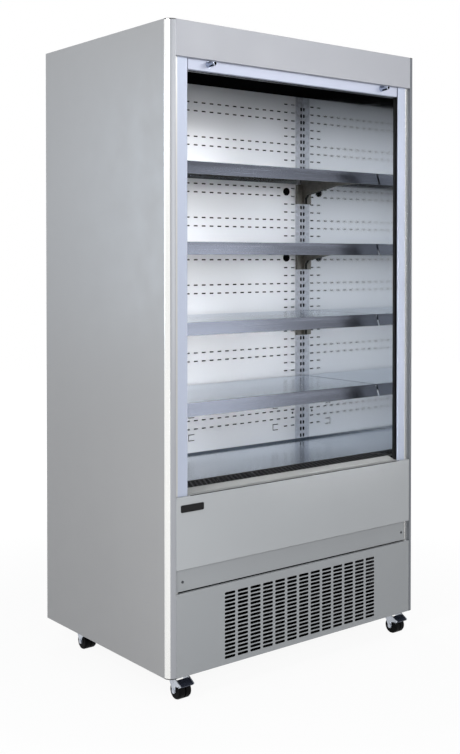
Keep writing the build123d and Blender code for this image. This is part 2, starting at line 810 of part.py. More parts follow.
with BuildPart() as shelf_brackets:
    for shelf_z in shelf_tops:
        seat_z = shelf_z - sheet - fit_gap
        heel = y_at(inner_depth - fit_gap)
        with BuildSketch(Plane.YZ.offset(slot_x - bracket_sheet / 2)):
            with BuildLine():
                Polyline(
                    (heel - bracket_bend[0], seat_z - bracket_bend[1]),
                    (heel - bracket_waist[0], seat_z - bracket_waist[1]),
                    (y_at(bracket_front), seat_z - bracket_tip_height),
                    (y_at(bracket_front), seat_z),
                    (heel, seat_z),
                    (heel, seat_z - bracket_rear_height),
                    (heel - bracket_heel, seat_z - bracket_rear_height),
                    (heel - bracket_heel, seat_z - bracket_throat),
                )
                RadiusArc(
                    (heel - bracket_heel, seat_z - bracket_throat),
                    (heel - bracket_bend[0], seat_z - bracket_bend[1]),
                    bracket_bend_radius,
                )
            make_face()
        extrude(amount=bracket_sheet)
        flange_x = (bracket_outer - bracket_flange, bracket_outer)
        boss_x = (bracket_outer - boss_width, bracket_outer)
        flange_y = (y_at(bracket_front), heel - boss_depth)
        slab(flange_x, flange_y, (seat_z - bracket_flange_sheet, seat_z))
        slab(boss_x, (heel - boss_depth, heel), (seat_z - bracket_rear_height, seat_z - shelf_flange))
        for slot_number in (0, -hook_slot_drops[1]):
            slot_z = shelf_z - hook_slot_drops[0] + slot_number * upright_pitch
            tongue_bottom = slot_z - upright_slot_length / 2 + fit_gap
            hook_x = (slot_x - bracket_sheet / 2, slot_x + bracket_sheet / 2)
            hook_back = y_at(inner_depth + upright_sheet + hook_reach)
            slab(hook_x, (heel, hook_back), (tongue_bottom, tongue_bottom + hook_height))
            slab(hook_x, (hook_back - hook_sheet, hook_back), (tongue_bottom - hook_drop, tongue_bottom))
    mirror(about=Plane.YZ)
save(shelf_brackets, "shelf_brackets")

# ---------------------------------------------------------------- night blind

roller_centre = (y_at(roller_depth), roller_z)
pin_end = guide_outer - fit_gap
roller_end = guide_outer - bracket_plate - 6 * fit_gap
with BuildPart() as blind_roller:
    rod_along_x(roller_centre, roller_radius, (-roller_end, roller_end))
    hollow_end = roller_end - 4 * roller_wall
    rod_along_x(roller_centre, roller_radius - roller_wall, (-hollow_end, hollow_end), Mode.SUBTRACT)
    rod_along_x(roller_centre, roller_pin_radius, (roller_end, pin_end))
    rod_along_x(roller_centre, roller_pin_radius, (-pin_end, -roller_end))
save(blind_roller, "blind_roller")

with BuildPart() as blind_fabric:
    blind_x = (-blind_half_width, blind_half_width)
    rod_along_x(roller_centre, roll_radius, blind_x)
    drop_front = roller_centre[0] - roll_radius
    slab(blind_x, (drop_front, drop_front + blind_sheet), (bar_top + fit_gap, roller_z))
    rod_along_x(roller_centre, roller_radius + fit_gap, blind_x, Mode.SUBTRACT)
save(blind_fabric, "blind_fabric")

with BuildPart() as blind_bar:
    bar_y = (y_at(bar_depth), y_at(bar_depth + bar_thickness))
    slab((-bar_half_width, bar_half_width), bar_y, (bar_bottom, bar_top))
    fillet(blind_bar.edges().filter_by(Axis.X), bar_edge)
    bar_middle = (bar_bottom + bar_top) / 2
    runner_z = (bar_middle - runner_height / 2, bar_middle + runner_height / 2)
    runner_middle = y_at((carcass_depth + post_lip + guide_rear) / 2)
    runner_y = (runner_middle - runner_thickness / 2, runner_middle + runner_thickness / 2)
    for side in (-1, 1):
        runner_x = sorted((side * bar_half_width, side * (bar_half_width + runner_reach)))
        slab(runner_x, runner_y, runner_z)
save(blind_bar, "blind_bar")

with BuildPart() as blind_knobs:
    for x in (-knob_x, knob_x):
        knob_length = bar_depth + knob_reach
        outline = [
            (0, 0),
            (knob_base_radius, 0),
            (knob_base_radius, -knob_base),
            (knob_root_radius, -knob_base),
            (knob_tip_radius, 2 - knob_length),
            (knob_tip_radius - 1.5, -knob_length),
            (knob_hole_radius, -knob_length),
            (knob_hole_radius, knob_hole_depth - knob_length),
            (0, knob_hole_depth - knob_length),
        ]
        turned_along_y((x, y_at(bar_depth), bar_bottom + knob_height), outline)
save(blind_knobs, "blind_knobs")

# ---------------------------------------------------------------- refrigeration set


def coil(half, depths, heights, fins, tubes):
    """A finned coil between two end plates, with one row of tubes that run across."""
    ys = (y_at(depths[0]), y_at(depths[1]))
    zs = (base + heights[0], base + heights[1])
    pitch = 2 * half / (fins + 1)
    with BuildSketch(Plane.XY.offset(zs[0])) as plan:
        with Locations((0, (ys[0] + ys[1]) / 2)):
            with GridLocations(pitch, 1, fins, 1):
                Rectangle(fin_sheet, ys[1] - ys[0])
    extrude(plan.sketch, amount=zs[1] - zs[0])
    for x in (-half, half - coil_plate):
        slab((x, x + coil_plate), ys, zs)
    tube_pitch = (zs[1] - zs[0]) / tubes
    for n in range(tubes):
        z = zs[0] + (n + 0.5) * tube_pitch
        tube_ends = (-half - 2 * coil_plate, half + 2 * coil_plate)
        rod_along_x(((ys[0] + ys[1]) / 2, z), coil_tube_radius, tube_ends)


def axial_fan(centre, face_y, radius):
    """A hub with twisted blades that turns about y; its shaft bore faces back."""
    x, z = centre
    rod_along_y(centre, hub_radius, (face_y, face_y + hub_length))
    bore = (face_y + hub_length / 4, face_y + hub_length)
    rod_along_y(centre, shaft_radius + shaft_clearance, bore, Mode.SUBTRACT)
    middle = face_y + hub_length / 2
    for n in range(blade_count):
        angle = radians(90 + 360 * n / blade_count)
        out = (cos(angle), 0, sin(angle))
        across = (-sin(angle), 0, cos(angle))
        sections = []
        for reach, (chord, pitch) in ((hub_radius - 3, blade_root), (radius, blade_tip)):
            foot = (x + out[0] * reach, middle, z + out[2] * reach)
            with BuildSketch(Plane(foot, x_dir=across, z_dir=out)) as section:
                Rectangle(chord, blade_sheet, rotation=pitch)
            sections.append(section.sketch.face())
        loft(sections, ruled=True)


def fan_motor(centre, plate_y, motor_y, reach):
    """A motor with its shaft forward, on three flat arms that reach out to the plate's back."""
    outline = [
        (0, -hub_length / 2),
        (shaft_radius, -hub_length / 2),
        (shaft_radius, 0),
        (motor_radius, 0),
        (motor_radius, motor_length - motor_edge),
        (motor_radius - motor_edge, motor_length),
        (0, motor_length),
    ]
    turned_along_y((centre[0], motor_y, centre[1]), outline)
    arm_length = reach + motor_arm_sheet - motor_radius / 2
    for n in range(3):
        angle = radians(90 + 120 * n)
        along = (cos(angle), 0, sin(angle))
        arm = Plane((centre[0], motor_y, centre[1]), x_dir=along, z_dir=(0, -1, 0))
        with BuildSketch(arm) as flat:
            with Locations((motor_radius / 2 + arm_length / 2, 0)):
                Rectangle(arm_length, motor_arm_width)
        extrude(flat.sketch, amount=-motor_arm_sheet)
        with BuildSketch(arm) as foot:
            with Locations((reach + motor_arm_sheet / 2, 0)):
                Rectangle(motor_arm_sheet, motor_arm_width)
        extrude(foot.sketch, amount=motor_y - plate_y)


condenser_back = condenser_depth + condenser_thickness
with BuildPart() as condenser_coil:
    coil(
        condenser_half_width,
        (condenser_depth, condenser_back),
        (condenser_bottom, condenser_bottom + condenser_height),
        condenser_fins,
        condenser_tubes,
    )
    for x in (-condenser_half_width, condenser_half_width - coil_plate):
        plate_y = (y_at(condenser_depth), y_at(condenser_back))
        slab((x, x + coil_plate), plate_y, (base + pan_sheet, base + condenser_bottom))
save(condenser_coil, "condenser_coil")

fan_z = base + condenser_bottom + condenser_height / 2
shroud_back = condenser_back + shroud_depth
fan_hole = condenser_fan_radius + fan_tip_gap
with BuildPart() as condenser_fan_shroud:
    shroud_x = (-condenser_half_width, condenser_half_width)
    shroud_z = (base + condenser_bottom, base + condenser_bottom + condenser_height)
    slab(shroud_x, (y_at(condenser_back), y_at(shroud_back)), shroud_z)
    slab(
        (shroud_x[0] + sheet, shroud_x[1] - sheet),
        (y_at(condenser_back), y_at(shroud_back - sheet)),
        (shroud_z[0] + sheet, shroud_z[1] - sheet),
        Mode.SUBTRACT,
    )
    rod_along_y((0, fan_z), fan_hole, (y_at(shroud_back - sheet), y_at(shroud_back)), Mode.SUBTRACT)
    motor_y = y_at(shroud_back + hub_length / 2 + motor_gap)
    fan_motor((0, fan_z), y_at(shroud_back), motor_y, fan_hole + motor_arm_sheet / 2)
save(condenser_fan_shroud, "condenser_fan_shroud")

with BuildPart() as condenser_fan:
    axial_fan((0, fan_z), motor_y - motor_gap - hub_length, condenser_fan_radius)
save(condenser_fan, "condenser_fan")

evaporator_back = evaporator_depth + evaporator_thickness
with BuildPart() as evaporator_coil:
    coil(
        evaporator_half_width,
        (evaporator_depth, evaporator_back),
        (evaporator_bottom, evaporator_bottom + evaporator_height),
        evaporator_fins,
        evaporator_tubes,
    )
    for x in (-evaporator_half_width, evaporator_half_width - coil_plate):
        plate_z = (base + evaporator_bottom, base + evaporator_bottom + evaporator_height)
        slab((x, x + coil_plate), (y_at(evaporator_back), back - back_wall), plate_z)
    plate_top = base + evaporator_bottom
    slab(
        (-evaporator_half_width, evaporator_half_width),
        (suction_y - 2 * line_radius, suction_y + 2 * line_radius),
        (plate_top - coil_plate, plate_top),
    )
save(evaporator_coil, "evaporator_coil")

evaporator_fan_z = base + evaporator_fan_height
plate_back = y_at(fan_plate_depth + sheet)
evaporator_motor_y = plate_back + hub_length / 2 + motor_gap
with BuildPart() as evaporator_fan_plate:
    plate_x = (-liner_face + fit_gap, liner_face - fit_gap)
    slab(plate_x, (y_at(fan_plate_depth), plate_back), (tub_top, deck_top - sheet))
    for x in (-evaporator_fan_x, evaporator_fan_x):
        hole = evaporator_fan_radius + fan_tip_gap
        rod_along_y((x, evaporator_fan_z), hole, (y_at(fan_plate_depth), plate_back), Mode.SUBTRACT)
    for x in (-evaporator_fan_x, evaporator_fan_x):
        fan_motor((x, evaporator_fan_z), plate_back, evaporator_motor_y, hole + motor_arm_sheet / 2)
save(evaporator_fan_plate, "evaporator_fan_plate")

for side, x in (("left", -evaporator_fan_x), ("right", evaporator_fan_x)):
    with BuildPart() as evaporator_fan:
        axial_fan((x, evaporator_fan_z), evaporator_motor_y - motor_gap - hub_length, evaporator_fan_radius)
    save(evaporator_fan, f"evaporator_fan_{side}")

compressor_y = y_at(compressor_depth)
shell_bottom = base + pan_sheet + 12
stub_top = shell_bottom + compressor_height + stub_height
with BuildPart() as compressor:
    with BuildSketch(Plane((compressor_x, compressor_y, 0), x_dir=(1, 0, 0), z_dir=(0, -1, 0))):
        with BuildLine():
            shoulder = compressor_radius * 0.55
            seam_z = shell_bottom + compressor_height / 2
            outline = Polyline(
                (0, shell_bottom + compressor_height),
                (0, shell_bottom),
                (compressor_radius - shoulder, shell_bottom),
            )
            TangentArc(outline @ 1, (compressor_radius, shell_bottom + shoulder), tangent=(1, 0))
            rim = Polyline(
                (compressor_radius, shell_bottom + shoulder),
                (compressor_radius, seam_z - compressor_seam),
                (compressor_radius + compressor_seam, seam_z - compressor_seam),
                (compressor_radius + compressor_seam, seam_z + compressor_seam),
                (compressor_radius, seam_z + compressor_seam),
                (compressor_radius, shell_bottom + compressor_height - shoulder),
            )
            crown = (compressor_radius - shoulder, shell_bottom + compressor_height)
            TangentArc(rim @ 1, crown, tangent=(0, 1))
            Line(crown, outline @ 0)
        make_face()
    revolve(axis=Axis((compressor_x, compressor_y, 0), (0, 0, 1)))
    for x in (compressor_x - stub_x, compressor_x + stub_x):
        rod_along_z((x, compressor_y), stub_radius, (shell_bottom + compressor_height / 2, stub_top))
    for x in (compressor_x - compressor_foot, compressor_x + compressor_foot):
        for y in (compressor_y - compressor_foot, compressor_y + compressor_foot):
            rod_along_z((x, y), 10, (base + pan_sheet, shell_bottom))
    slab(
        (compressor_x - compressor_foot - 14, compressor_x + compressor_foot + 14),
        (compressor_y - compressor_foot - 14, compressor_y + compressor_foot + 14),
        (shell_bottom - 2, shell_bottom + 2),
    )
save(compressor, "compressor")

discharge_y = y_at(condenser_depth + condenser_thickness / 2)
discharge_end = base + condenser_bottom + condenser_height
discharge_x = compressor_x - stub_x
discharge_z = stub_top + 2 * line_bend
suction_run_z = stub_top + line_bend + 4
lines = (
    [
        (discharge_x, compressor_y, stub_top),
        (discharge_x, compressor_y, discharge_z),
        (discharge_x, discharge_y, discharge_z),
        (discharge_x, discharge_y, discharge_end),
    ],
    [
        (compressor_x + stub_x, compressor_y, stub_top),
        (compressor_x + stub_x, compressor_y, suction_run_z),
        (suction_x, compressor_y, suction_run_z),
        (suction_x, suction_y, suction_run_z),
        (suction_x, suction_y, base + evaporator_bottom - coil_plate),
    ],
)
with BuildPart() as refrigerant_lines:
    for route in lines:
        with BuildLine():
            run = FilletPolyline(*route, radius=line_bend)
        with BuildSketch(Plane(run @ 0, z_dir=run % 0)):
            Circle(line_radius)
        sweep(path=run)
save(refrigerant_lines, "refrigerant_lines")

with BuildPart() as controller:
    slab(
        (inner - controller_width, inner),
        (y_at(controller_front), y_at(controller_front + controller_depth)),
        (base + controller_bottom, base + controller_bottom + controller_height),
    )
    fillet(controller.faces().sort_by(Axis.X)[0].edges(), 3)
save(controller, "controller")

# ---------------------------------------------------------------- casters

caster_spots = {
    "front_left": (-caster_x, caster_front_depth),
    "front_right": (caster_x, caster_front_depth),
    "rear_left": (-caster_x, caster_rear_depth),
    "rear_right": (caster_x, caster_rear_depth),
}
plate_bottom = base - plate_sheet

with BuildPart() as caster_plates:
    for x, depth in caster_spots.values():
        with BuildSketch(Plane((x, y_at(depth), plate_bottom))):
            RectangleRounded(plate_size, plate_size, 5)
            with GridLocations(plate_hole_pitch, plate_hole_pitch, 2, 2):
                Circle(plate_hole_radius, mode=Mode.SUBTRACT)
            Circle(stem_radius + stem_clearance, mode=Mode.SUBTRACT)
        extrude(amount=plate_sheet)
save(caster_plates, "caster_plates")

fork_inner = tread_width / 2 + fork_gap
pedal_angle = radians(pedal_slope)
pin_depth = pedal_back_depth + pedal_pin_reach * cos(pedal_angle)
pin_height = pedal_back_height - pedal_pin_reach * sin(pedal_angle) - pedal_lug_radius

for place, (x, depth) in caster_spots.items():
    y = y_at(depth)
    wheel_y = y - wheel_offset
    has_pedal = place.startswith("front")

    with BuildPart() as fork:
        disc_top = plate_bottom - swivel_gap
        disc_bottom = disc_top - swivel_height
        rod_along_z((x, y), swivel_radius, (disc_bottom, disc_top))
        rod_along_z((x, y), stem_radius, (disc_top, base - swivel_gap))
        tip = (y - gusset_depth, gusset_height) if has_pedal else (y - gusset_depth + 16, gusset_height)
        for side in (-1, 1):
            cheek = sorted((x + side * fork_inner, x + side * (fork_inner + fork_sheet)))
            with BuildSketch(Plane.YZ.offset(cheek[0])):
                with BuildLine():
                    Polyline(
                        (y + fork_top, disc_top),
                        (wheel_y + fork_end_radius, wheel_radius),
                        (wheel_y - fork_end_radius, wheel_radius),
                        (wheel_y - fork_end_radius, wheel_radius + 14),
                        tip,
                        (tip[0] - 2, tip[1] + 3),
                        (y - 18, disc_top),
                        close=True,
                    )
                make_face()
                with Locations((wheel_y, wheel_radius)):
                    Circle(fork_end_radius)
                if has_pedal:
                    with Locations((y - pin_depth, pin_height)):
                        Circle(pedal_lug_radius)
                        Circle(pedal_pin_radius + pedal_pin_clearance, mode=Mode.SUBTRACT)
            extrude(amount=fork_sheet)
        fork_outer = fork_inner + fork_sheet
        slab((x - fork_outer, x + fork_outer), (y - 18, y + fork_top), (disc_bottom, disc_top))
        if not has_pedal:
            bridge = (tip[0] + 2, tip[0] + 6)
            slab((x - fork_inner, x + fork_inner), bridge, (gusset_height + 8, disc_top))
        rod_along_x((wheel_y, wheel_radius), axle_radius, (x - fork_outer, x + fork_outer))
        head_out = fork_outer + axle_head
        for ends in ((x - head_out, x - fork_outer), (x + fork_outer, x + head_out)):
            rod_along_x((wheel_y, wheel_radius), axle_head_radius, ends)
    save(fork, f"caster_fork_{place}")

    with BuildPart() as wheel:
        with BuildSketch(Plane((x, wheel_y, wheel_radius), x_dir=(1, 0, 0), z_dir=(0, 0, 1))):
            half = tread_width / 2
            groove = tread_groove / 2
            with BuildLine():
                Polyline(
                    (-half, axle_radius + axle_clearance),
                    (-half, wheel_radius - tread_edge),
                    (-half + tread_edge * 0.3, wheel_radius - tread_edge * 0.3),
                    (-half + tread_edge, wheel_radius),
                    (-groove, wheel_radius),
                    (-groove, wheel_radius - tread_groove_depth),
                    (groove, wheel_radius - tread_groove_depth),
                    (groove, wheel_radius),
                    (half - tread_edge, wheel_radius),
                    (half - tread_edge * 0.3, wheel_radius - tread_edge * 0.3),
                    (half, wheel_radius - tread_edge),
                    (half, axle_radius + axle_clearance),
                    close=True,
                )
            make_face()
        revolve(axis=Axis((x, wheel_y, wheel_radius), (1, 0, 0)))
    save(wheel, f"caster_wheel_{place}")

    if has_pedal:
        with BuildPart() as pedal:
            pedal_plane = Plane(
                (x, y - pedal_back_depth, pedal_back_height),
                x_dir=(1, 0, 0),
                z_dir=(0, -sin(pedal_angle), cos(pedal_angle)),
            )
            with BuildSketch(pedal_plane):
                with Locations((0, -pedal_length / 2)):
                    RectangleRounded(pedal_width, pedal_length, 3)
            extrude(amount=pedal_sheet)
            lug_x = (x - fork_inner + fit_gap, x + fork_inner - fit_gap)
            for lug in ((lug_x[0], lug_x[0] + pedal_lug_width), (lug_x[1] - pedal_lug_width, lug_x[1])):
                rod_along_x((y - pin_depth, pin_height), pedal_lug_radius, lug)
                lug_y = (y - pin_depth - pedal_pin_radius, y - pin_depth + pedal_pin_radius)
                slab(lug, lug_y, (pin_height, pin_height + pedal_lug_radius + pedal_sheet / 2))
            pin_out = fork_inner + fork_sheet
            rod_along_x((y - pin_depth, pin_height), pedal_pin_radius, (x - pin_out, x + pin_out))
        save(pedal, f"brake_pedal_{place}")

print("blind travel", round(blind_travel, 1))
print("overall height", top)
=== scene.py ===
import math

import bpy
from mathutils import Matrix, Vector


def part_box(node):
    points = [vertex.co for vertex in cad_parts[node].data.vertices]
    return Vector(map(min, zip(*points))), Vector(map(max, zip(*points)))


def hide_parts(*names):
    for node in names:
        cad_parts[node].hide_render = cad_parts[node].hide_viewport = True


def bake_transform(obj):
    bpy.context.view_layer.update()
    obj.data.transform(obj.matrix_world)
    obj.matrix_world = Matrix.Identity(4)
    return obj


# Looks of the open multideck display fridge. Everything is in metres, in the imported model's frame:
# z is up, the open front faces -y and the floor is z = 0.

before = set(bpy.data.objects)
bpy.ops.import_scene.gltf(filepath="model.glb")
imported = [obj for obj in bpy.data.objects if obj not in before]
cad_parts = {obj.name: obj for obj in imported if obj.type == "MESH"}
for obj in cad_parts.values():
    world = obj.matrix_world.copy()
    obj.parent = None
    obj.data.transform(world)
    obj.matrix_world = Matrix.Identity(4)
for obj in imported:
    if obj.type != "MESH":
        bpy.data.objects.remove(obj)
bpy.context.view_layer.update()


# ---------------------------------------------------------------- how a material is made

# Waves of noise per metre: the slow changes of paint and the gloss of plastic, then their fine grain
PAINT_SHADE, PAINT_GLOSS, PLASTIC_GLOSS = 2.2, 14.0, 60.0
ORANGE_PEEL, PLASTIC_GRAIN = 420.0, 900.0
# Zinc crystals and holes of mesh per metre
CRYSTALS, MESH = 110.0, 420.0
# Waves per metre along the brushing of metal and across it
ALONG, ACROSS = 3.0, 900.0
ALONG_X = (ALONG, ACROSS, ACROSS)
ALONG_Y = (ACROSS, ALONG, ACROSS)
ALONG_Z = (ACROSS, ACROSS, ALONG)
# Depth of peel and grain, from nearly flat to coarse
FLATTEST, FLAT, FINEST, FINE = 0.000002, 0.000003, 0.00001, 0.00002
SMOOTH, MEDIUM, COARSE = 0.00003, 0.00005, 0.0001

looks = {}


def linear(level):
    """A level from 0 to 255 on the sRGB curve, as a share of light."""
    level /= 255
    return level / 12.92 if level <= 0.04045 else ((level + 0.055) / 1.055) ** 2.4


def rgb(red, green, blue):
    """A colour as it shows on screen, for a shader's socket."""
    return (linear(red), linear(green), linear(blue), 1.0)


class Tree:
    """A node tree whose nodes are added one call at a time."""

    def __init__(self, owner):
        owner.use_nodes = True
        self.tree = owner.node_tree

    def add(self, kind, settings=None, inputs=None):
        """A new node. Each input is a value, or the socket that it is linked from."""
        node = self.tree.nodes.new(kind)
        for name, value in (settings or {}).items():
            setattr(node, name, value)
        for name, value in (inputs or {}).items():
            if isinstance(value, bpy.types.NodeSocket):
                self.tree.links.new(value, node.inputs[name])
            else:
                node.inputs[name].default_value = value
        return node

    def seen_or_mirrored(self):
        """One where the ray comes from the camera, a mirror or clear glass."""
        path = self.add("ShaderNodeLightPath")
        total = path.outputs["Is Camera Ray"]
        for name in ("Is Glossy Ray", "Is Transmission Ray"):
            inputs = {0: total, 1: path.outputs[name]}
            total = self.add("ShaderNodeMath", {"operation": "MAXIMUM"}, inputs).outputs[0]
        return total


class Look(Tree):
    """A principled material whose procedural layers are added one call at a time."""

    def __init__(self, name, colour, roughness, metallic=0.0, **sockets):
        self.material = bpy.data.materials.new(name)
        super().__init__(self.material)
        self.shader = self.tree.nodes["Principled BSDF"]
        self.colour = colour
        self.roughness = roughness
        values = {"Base Color": colour, "Roughness": roughness, "Metallic": metallic, **sockets}
        for socket, value in values.items():
            self.shader.inputs[socket].default_value = value
        looks[name] = self

    def place(self, stretch=(1, 1, 1)):
        """Object coordinates, scaled differently along each axis."""
        source = self.add("ShaderNodeTexCoord").outputs["Object"]
        return self.add("ShaderNodeMapping", inputs={"Vector": source, "Scale": stretch}).outputs["Vector"]

    def noise(self, scale, stretch=(1, 1, 1), detail=3.0, roughness=0.55):
        inputs = {"Vector": self.place(stretch), "Scale": scale, "Detail": detail, "Roughness": roughness}
        return self.add("ShaderNodeTexNoise", inputs=inputs).outputs["Fac"]

    def cells(self, scale):
        """Cells about 1 / scale metres wide, each with its own value between zero and one."""
        inputs = {"Vector": self.place(), "Scale": scale}
        colour = self.add("ShaderNodeTexVoronoi", inputs=inputs).outputs["Color"]
        return self.add("ShaderNodeSeparateColor", inputs={"Color": colour}).outputs[0]

    def tint(self, value, amount, start=0.3, end=0.7):
        """Goes from a darker to a lighter base colour, by the share amount, as value rises."""
        dark = tuple(part * (1 - amount) for part in self.colour[:3]) + (1.0,)
        light = tuple(min(1.0, part * (1 + amount)) for part in self.colour[:3]) + (1.0,)
        ramp = self.add("ShaderNodeValToRGB", inputs={"Fac": value})
        stops = ramp.color_ramp.elements
        stops[0].position, stops[0].color = start, dark
        stops[1].position, stops[1].color = end, light
        self.tree.links.new(ramp.outputs["Color"], self.shader.inputs["Base Color"])

    def wear(self, value, amount, start=0.3, end=0.7):
        """Goes from a smoother to a rougher surface, by amount either way, as value rises."""
        low, high = self.roughness - amount, self.roughness + amount
        inputs = {"Value": value, "From Min": start, "From Max": end, "To Min": low, "To Max": high}
        result = self.add("ShaderNodeMapRange", inputs=inputs).outputs["Result"]
        self.tree.links.new(result, self.shader.inputs["Roughness"])

    def bump(self, value, depth):
        """Raises the surface by value, up to depth in metres."""
        inputs = {"Height": value, "Distance": depth, "Strength": 1.0}
        normal = self.add("ShaderNodeBump", inputs=inputs).outputs["Normal"]
        self.tree.links.new(normal, self.shader.inputs["Normal"])


def painted(name, colour, roughness, peel=MEDIUM, gloss=0.45, metallic=0.0):
    """Stoved powder coat or plain sheet: a fine orange peel and hardly any change of shade."""
    look = Look(name, colour, roughness, metallic, **{"Specular IOR Level": gloss})
    look.tint(look.noise(PAINT_SHADE, detail=2.0), amount=0.02)
    look.wear(look.noise(PAINT_GLOSS), amount=0.04)
    look.bump(look.noise(ORANGE_PEEL, detail=1.0), peel)


def brushed(name, colour, roughness, waves, metallic, grain=FINE, shade=0.07, **sockets):
    """Metal drawn or brushed along the axis on which waves is small."""
    look = Look(name, colour, roughness, metallic, **{"Anisotropic": 0.5, **sockets})
    lines = look.noise(scale=1.0, stretch=waves, detail=4.0, roughness=0.7)
    look.tint(lines, shade)
    look.wear(lines, amount=0.05)
    look.bump(lines, grain)


def spangled(name, colour, roughness, scale=CRYSTALS, shade=0.12, metallic=0.85):
    """Zinc with its crystals, which differ a little in shade and gloss."""
    look = Look(name, colour, roughness, metallic)
    crystal = look.cells(scale)
    look.tint(crystal, shade, start=0.1, end=0.9)
    look.wear(crystal, amount=0.08, start=0.1, end=0.9)


def moulded(name, colour, roughness, grain=SMOOTH):
    """Plastic or cloth: one shade, with a fine grain."""
    look = Look(name, colour, roughness)
    look.wear(look.noise(PLASTIC_GLOSS), amount=0.05)
    look.bump(look.noise(PLASTIC_GRAIN, detail=1.0), grain)


# ---------------------------------------------------------------- materials

# Painted panels
painted("panel_paint", rgb(150, 150, 151), 0.36, gloss=0.8)
# Fascia, riser and grille are one steel, lighter at the top and darker below: painted shade towards the
# floor
painted("fascia_steel", rgb(166, 168, 175), 0.34, SMOOTH)
painted("front_steel", rgb(157, 160, 163), 0.34, SMOOTH)
painted("grille_steel", rgb(141, 144, 147), 0.34, SMOOTH)
painted("badge_black", rgb(13, 13, 14), 0.3, FINEST, gloss=0.2)
Look("screw_steel", rgb(72, 74, 78), 0.4, metallic=0.8)

# Aluminium profiles
brushed("anodised", rgb(186, 186, 184), 0.32, ALONG_Z, 0.5, FINEST, shade=0.02)
# The next three looks are this anodised aluminium made lighter and darker, as painted highlight and painted
# shade
brushed("profile_painted_highlight", rgb(238, 238, 236), 0.24, ALONG_Z, 0.85, FINEST, shade=0.01)
brushed("profile_painted_shade", rgb(150, 152, 157), 0.32, ALONG_Z, 0.5, FINEST, shade=0.02)
brushed("profile_dark_painted_shade", rgb(104, 108, 114), 0.32, ALONG_Z, 0.5, FINEST, shade=0.02)
brushed("post_aluminium", rgb(170, 177, 194), 0.42, ALONG_Z, 0.4, FINEST, shade=0.02)
brushed("bar_aluminium", rgb(166, 171, 187), 0.4, ALONG_X, 0.4, FINEST, shade=0.02)
turned_highlight = {"Anisotropic Rotation": 0.25}
brushed("rail_aluminium", rgb(85, 89, 99), 0.24, ALONG_X, 0.9, FINEST, shade=0.03, **turned_highlight)

# Mouth and cold space
brushed("ledge_steel", rgb(204, 206, 206), 0.4, ALONG_X, 0.3, FINEST, shade=0.03)
brushed("stainless", rgb(222, 232, 244), 0.2, ALONG_X, 0.95, FINEST, shade=0.03)
brushed("polished_stainless", rgb(220, 225, 230), 0.08, ALONG_Y, 1.0, FLAT, shade=0.02, Anisotropic=0.0)
painted("rear_steel", rgb(228, 230, 234), 0.36, FLATTEST, metallic=0.6)
# Painted shade: the stainless decks' undersides in dark brown
painted("shelf_underside_painted_shade", rgb(44, 35, 22), 0.6, gloss=0.0)
# Painted shade for the line where the deck tray meets the rear wall
painted("painted_shade_grey", rgb(84, 92, 102), 0.6, gloss=0.0)
painted("black_metal", rgb(9, 9, 10), 0.7, gloss=0.0)
# Near black, for painted shade in recesses and behind slots, and for parts that are black
painted("black_and_painted_shade", rgb(8, 8, 8), 0.8, gloss=0.0)
# The brackets' zinc is darker and browner than the uprights': painted shade under the shelves
spangled("bracket_zinc", rgb(126, 124, 118), 0.4)
spangled("upright_zinc", rgb(194, 197, 205), 0.36)
spangled("mesh_black", rgb(11, 11, 12), 0.5, MESH, shade=0.85, metallic=0.0)
moulded("black_plastic", rgb(12, 12, 13), 0.45)
moulded("blind_cloth", rgb(178, 180, 184), 0.8, COARSE)
Look("bright_chrome", rgb(190, 198, 214), 0.14, metallic=1.0)

# Refrigeration set
spangled("galvanised", rgb(150, 153, 158), 0.45)
brushed("coil_fins", rgb(120, 122, 126), 0.4, ALONG_Z, 0.9)
painted("compressor_paint", rgb(26, 26, 28), 0.35)
moulded("fan_plastic", rgb(40, 41, 44), 0.4)
moulded("controller_grey", rgb(150, 152, 155), 0.5)
Look("copper_tube", rgb(198, 124, 86), 0.3, metallic=1.0)

# Casters
spangled("fork_steel", rgb(186, 191, 200), 0.32)
painted("wheel_rubber", rgb(6, 6, 7), 0.55, COARSE, gloss=0.06)
Look("pedal_steel", rgb(52, 57, 70), 0.24, metallic=0.6)


# ---------------------------------------------------------------- what the CAD nodes wear

SHELF_NUMBERS = range(1, 5)
CASTER_PLACES = ("front_left", "front_right", "rear_left", "rear_right")
# The part of a face's normal along an axis, where it points straight or at least mostly that way
STRAIGHT, MOSTLY = 0.9, 0.5


def dress(look, *nodes):
    for node in nodes:
        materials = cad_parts[node].data.materials
        materials.clear()
        materials.append(looks[look].material)


def dress_faces(look, node, chosen):
    """Gives a second look to the faces whose normal and middle are chosen."""
    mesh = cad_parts[node].data
    mesh.materials.append(looks[look].material)
    for face in mesh.polygons:
        if chosen(face.normal, face.center):
            face.material_index = len(mesh.materials) - 1


def dress_panels():
    dress("panel_paint", "side_panel_left", "side_panel_right", "roof_panel", "rear_service_cover")
    dress("fascia_steel", "fascia_panel")
    dress("front_steel", "riser_panel")
    dress("grille_steel", "screw_strip")
    dress("badge_black", "badge_plate")
    dress("screw_steel", "panel_screws")


def dress_back_panel():
    """Paint, with painted shade in black inside, where it closes the space behind the rear wall."""
    dress("panel_paint", "back_panel")
    dress_faces("black_and_painted_shade", "back_panel", lambda normal, middle: normal.y < -MOSTLY)


def dress_grille_panel():
    """Steel, with painted shade: the slots' walls are black."""
    half_width, low, high = 0.44, 0.085, 0.29

    def in_slots(normal, middle):
        return abs(normal.y) < MOSTLY and abs(middle[0]) < half_width and low < middle[2] < high

    dress("grille_steel", "grille_panel")
    dress_faces("black_and_painted_shade", "grille_panel", in_slots)


